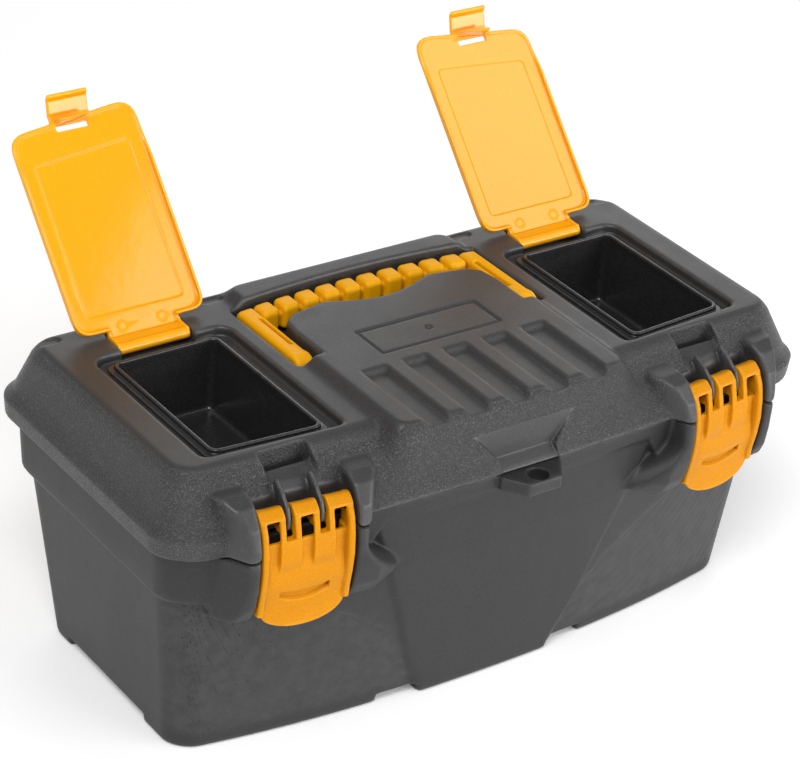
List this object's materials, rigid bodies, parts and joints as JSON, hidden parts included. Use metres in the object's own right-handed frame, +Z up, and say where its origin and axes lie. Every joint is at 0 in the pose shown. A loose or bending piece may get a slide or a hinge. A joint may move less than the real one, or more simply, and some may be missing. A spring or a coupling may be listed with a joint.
{
  "type": "carpenter toolbox",
  "caption": "Moulded plastic hand-tool box with a hinged lid, front latches, a fold-down carrying handle, and small-parts bins in the lid under flip-up covers.",
  "frame": {"origin": "centre of the bounding box, on the ground plane under the feet", "axes": "+X along the length to the right seen from the front, -Y to the front with the latches, +Z up"},
  "size_m": [0.33, 0.2172, 0.2208],
  "materials": {
    "base": "fine matte moulded grain, charcoal",
    "lid": "matte charcoal with coarse moulded stipple on the slopes",
    "yellow_handle": "satin yellow-orange",
    "yellow_latch": "satin yellow-orange",
    "bin": "glossy near-black",
    "yellow_flap": "glossy saturated yellow",
    "pin": "blackened steel wire"
  },
  "bodies": {
    "base": {"base_shell": "base", "hinge_pin_left": "pin", "hinge_pin_right": "pin"},
    "lid": {"lid_shell": "lid", "bin_left": "bin", "bin_right": "bin", "latch_pin_left": "pin", "latch_pin_right": "pin", "handle_pin_left": "pin", "handle_pin_right": "pin", "bin_lid_pin_left": "pin", "bin_lid_pin_right": "pin"},
    "handle": {"handle": "yellow_handle"},
    "latch_left": {"latch_left": "yellow_latch"},
    "latch_right": {"latch_right": "yellow_latch"},
    "bin_lid_left": {"bin_lid_left": "yellow_flap"},
    "bin_lid_right": {"bin_lid_right": "yellow_flap"}
  },
  "joints": [
    {"name": "lid_hinge", "type": "hinge", "parent": "base", "child": "lid", "pos_m": [0, 0.06462, 0.102], "axis": [-1, 0, 0], "range_deg": [0, 105]},
    {"name": "handle_swing", "type": "hinge", "parent": "lid", "child": "handle", "pos_m": [0, -0.01148, 0.134], "axis": [1, 0, 0], "range_deg": [0, 95]},
    {"name": "latch_left_swing", "type": "hinge", "parent": "lid", "child": "latch_left", "pos_m": [-0.1079, -0.08938, 0.1196], "axis": [-0.9954, 0.0958, 0], "range_deg": [0, 115]},
    {"name": "latch_right_swing", "type": "hinge", "parent": "lid", "child": "latch_right", "pos_m": [0.1079, -0.08938, 0.1196], "axis": [-0.9954, -0.0958, 0], "range_deg": [0, 115]},
    {"name": "bin_lid_left_swing", "type": "hinge", "parent": "lid", "child": "bin_lid_left", "pos_m": [-0.105, 0.03162, 0.1364], "axis": [1, 0, 0], "range_deg": [0, 133]},
    {"name": "bin_lid_right_swing", "type": "hinge", "parent": "lid", "child": "bin_lid_right", "pos_m": [0.105, 0.03162, 0.1364], "axis": [1, 0, 0], "range_deg": [0, 133]}
  ]
}
